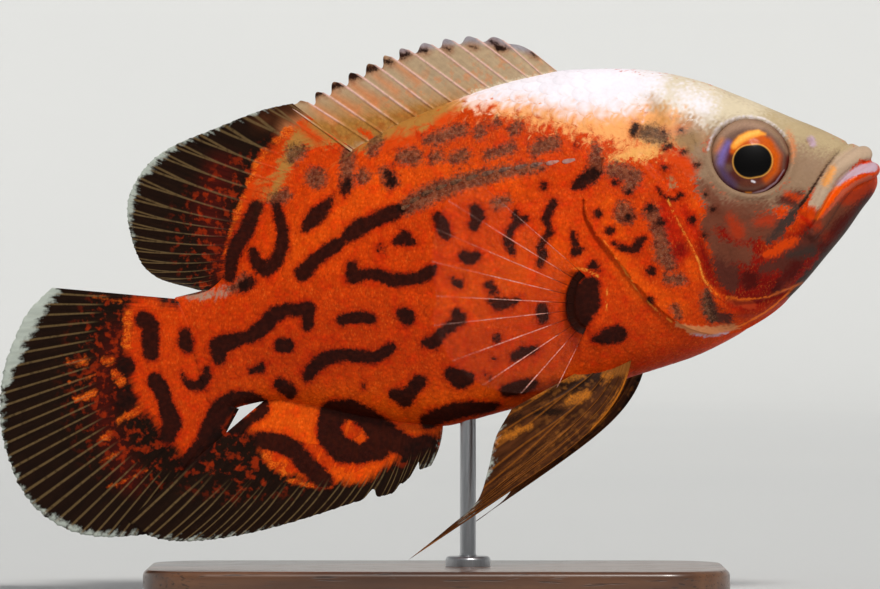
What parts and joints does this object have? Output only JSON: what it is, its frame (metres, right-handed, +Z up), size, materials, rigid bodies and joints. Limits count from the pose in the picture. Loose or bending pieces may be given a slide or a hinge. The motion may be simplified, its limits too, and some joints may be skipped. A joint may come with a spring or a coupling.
{
  "type": "oscar fish model",
  "caption": "Life-size still model of a young oscar fish, orange with black marks, swimming nose-up on a rod above a flat display base.",
  "frame": {"origin": "centre of the stand base's underside", "axes": "+X towards the fish's snout end, +Y to the fish's left, +Z up; the fish is pitched nose-up by 18 degrees"},
  "size_m": [0.1768, 0.062, 0.112],
  "materials": {
    "skin": "orange skin with black marks and fine scales, wet gloss",
    "fin": "near-black membrane with pale rays",
    "clear_fin": "clear membrane with pale rays",
    "eye": "polished, black pupil in a gold and brown iris",
    "stand_wood": "dark walnut, satin",
    "stand_steel": "satin steel"
  },
  "bodies": {
    "root": {"head": "skin", "lower_jaw": "skin", "gill_cover_right": "skin", "gill_cover_left": "skin", "torso": "skin", "tail_stalk": "skin", "dorsal_fin_spines": "fin", "dorsal_fin_rays": "fin", "anal_fin": "fin", "caudal_fin": "fin", "pelvic_fin_right": "fin", "pelvic_fin_left": "fin", "pectoral_fin_right": "clear_fin", "pectoral_fin_left": "clear_fin", "eye_right": "eye", "eye_left": "eye", "stand_base": "stand_wood", "stand_rod": "stand_steel"}
  },
  "joints": []
}
